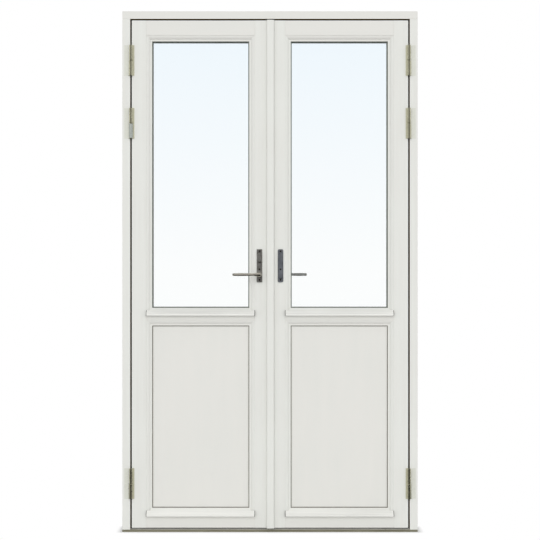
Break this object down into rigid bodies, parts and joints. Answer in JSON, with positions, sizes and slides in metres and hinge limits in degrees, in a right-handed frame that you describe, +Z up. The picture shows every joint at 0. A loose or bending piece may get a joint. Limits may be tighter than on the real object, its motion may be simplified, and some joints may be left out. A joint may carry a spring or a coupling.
{
  "type": "french doors",
  "caption": "Outward-opening pair of glazed wooden doors in a frame, with lower panels, lift-off hinges and lever-driven bolts.",
  "frame": {"origin": "under the middle of the threshold, halfway through the depth of the frame", "axes": "+Z up, +Y towards the inside of the building, +X to the right as seen from outside"},
  "size_m": [1.18, 0.166, 2.08],
  "materials": {
    "painted_wood": "off-white satin paint",
    "threshold_wood": "oiled dark hardwood",
    "strip_aluminium": "matt anodised",
    "glass": "clear float glass",
    "spacer_bar": "mill",
    "dark_rubber": "matt",
    "grey_rubber": "matt",
    "zinc_steel": "yellow passivated zinc",
    "sleeve_plastic": "moulded",
    "lock_steel": "bright zinc",
    "plate_metal": "dark pewter",
    "screw_steel": "dark zinc",
    "lever_nickel": "satin nickel"
  },
  "bodies": {
    "frame": {"left_jamb": "painted_wood", "right_jamb": "painted_wood", "head": "painted_wood", "threshold": "threshold_wood", "threshold_strip": "strip_aluminium", "frame_seal": "dark_rubber", "hinge_frame_halves": "zinc_steel", "hinge_sleeve": "sleeve_plastic", "rod_keeps": "lock_steel"},
    "active_leaf": {"active_hinge_stile": "painted_wood", "active_meeting_stile": "painted_wood", "active_top_rail": "painted_wood", "active_mid_rail": "painted_wood", "active_bottom_rail": "painted_wood", "active_sill_bars": "painted_wood", "active_glass_beads": "painted_wood", "active_panel": "painted_wood", "active_panel_beads": "painted_wood", "active_glass_panes": "glass", "active_glass_spacer": "spacer_bar", "active_glass_gaskets": "dark_rubber", "active_panel_gaskets": "grey_rubber", "active_hinge_halves": "zinc_steel", "active_faceplate": "lock_steel", "active_gear_case": "lock_steel", "active_outside_plate": "plate_metal", "active_inside_plate": "plate_metal", "active_plate_screws": "screw_steel", "active_cover_strip": "painted_wood"},
    "active_handle": {"active_drive_gear": "lock_steel", "active_spindle": "lock_steel", "active_inside_lever": "lever_nickel", "active_outside_lever": "lever_nickel"},
    "active_top_bolt": {"active_top_rod": "lock_steel"},
    "active_bottom_bolt": {"active_bottom_rod": "lock_steel"},
    "passive_leaf": {"passive_hinge_stile": "painted_wood", "passive_meeting_stile": "painted_wood", "passive_top_rail": "painted_wood", "passive_mid_rail": "painted_wood", "passive_bottom_rail": "painted_wood", "passive_sill_bars": "painted_wood", "passive_glass_beads": "painted_wood", "passive_panel": "painted_wood", "passive_panel_beads": "painted_wood", "passive_glass_panes": "glass", "passive_glass_spacer": "spacer_bar", "passive_glass_gaskets": "dark_rubber", "passive_panel_gaskets": "grey_rubber", "passive_hinge_halves": "zinc_steel", "passive_faceplate": "lock_steel", "passive_gear_case": "lock_steel", "passive_outside_plate": "plate_metal", "passive_inside_plate": "plate_metal", "passive_plate_screws": "screw_steel"},
    "passive_handle": {"passive_drive_gear": "lock_steel", "passive_spindle": "lock_steel", "passive_inside_lever": "lever_nickel"},
    "passive_top_bolt": {"passive_top_rod": "lock_steel"},
    "passive_bottom_bolt": {"passive_bottom_rod": "lock_steel"}
  },
  "joints": [
    {"name": "active_leaf_swing", "type": "hinge", "parent": "frame", "child": "active_leaf", "pos_m": [-0.555, -0.0655, 1.04], "axis": [0, 0, -1], "range_deg": [0, 110]},
    {"name": "active_handle_turn", "type": "hinge", "parent": "active_leaf", "child": "active_handle", "pos_m": [-0.042, -0.0295, 1.028], "axis": [0, -1, 0], "range_deg": [0, 90]},
    {"name": "active_top_bolt_slide", "type": "slide", "parent": "active_leaf", "child": "active_top_bolt", "axis": [0, 0, 1], "range_m": [0, 0.0168]},
    {"name": "active_bottom_bolt_slide", "type": "slide", "parent": "active_leaf", "child": "active_bottom_bolt", "axis": [0, 0, -1], "range_m": [0, 0.0168]},
    {"name": "passive_leaf_swing", "type": "hinge", "parent": "frame", "child": "passive_leaf", "pos_m": [0.555, -0.0655, 1.04], "axis": [0, 0, 1], "range_deg": [0, 110]},
    {"name": "passive_handle_turn", "type": "hinge", "parent": "passive_leaf", "child": "passive_handle", "pos_m": [0.042, -0.0295, 1.028], "axis": [0, 1, 0], "range_deg": [0, 90]},
    {"name": "passive_top_bolt_slide", "type": "slide", "parent": "passive_leaf", "child": "passive_top_bolt", "axis": [0, 0, 1], "range_m": [0, 0.0168]},
    {"name": "passive_bottom_bolt_slide", "type": "slide", "parent": "passive_leaf", "child": "passive_bottom_bolt", "axis": [0, 0, -1], "range_m": [0, 0.0168]}
  ],
  "couplings": [
    {"joint": "passive_leaf_swing", "follows": "active_leaf_swing", "ratio": 1},
    {"joint": "active_top_bolt_slide", "follows": "active_handle_turn", "m_per_rad": 0.010625},
    {"joint": "active_bottom_bolt_slide", "follows": "active_handle_turn", "m_per_rad": 0.010625},
    {"joint": "passive_top_bolt_slide", "follows": "passive_handle_turn", "m_per_rad": 0.010625},
    {"joint": "passive_bottom_bolt_slide", "follows": "passive_handle_turn", "m_per_rad": 0.010625}
  ]
}
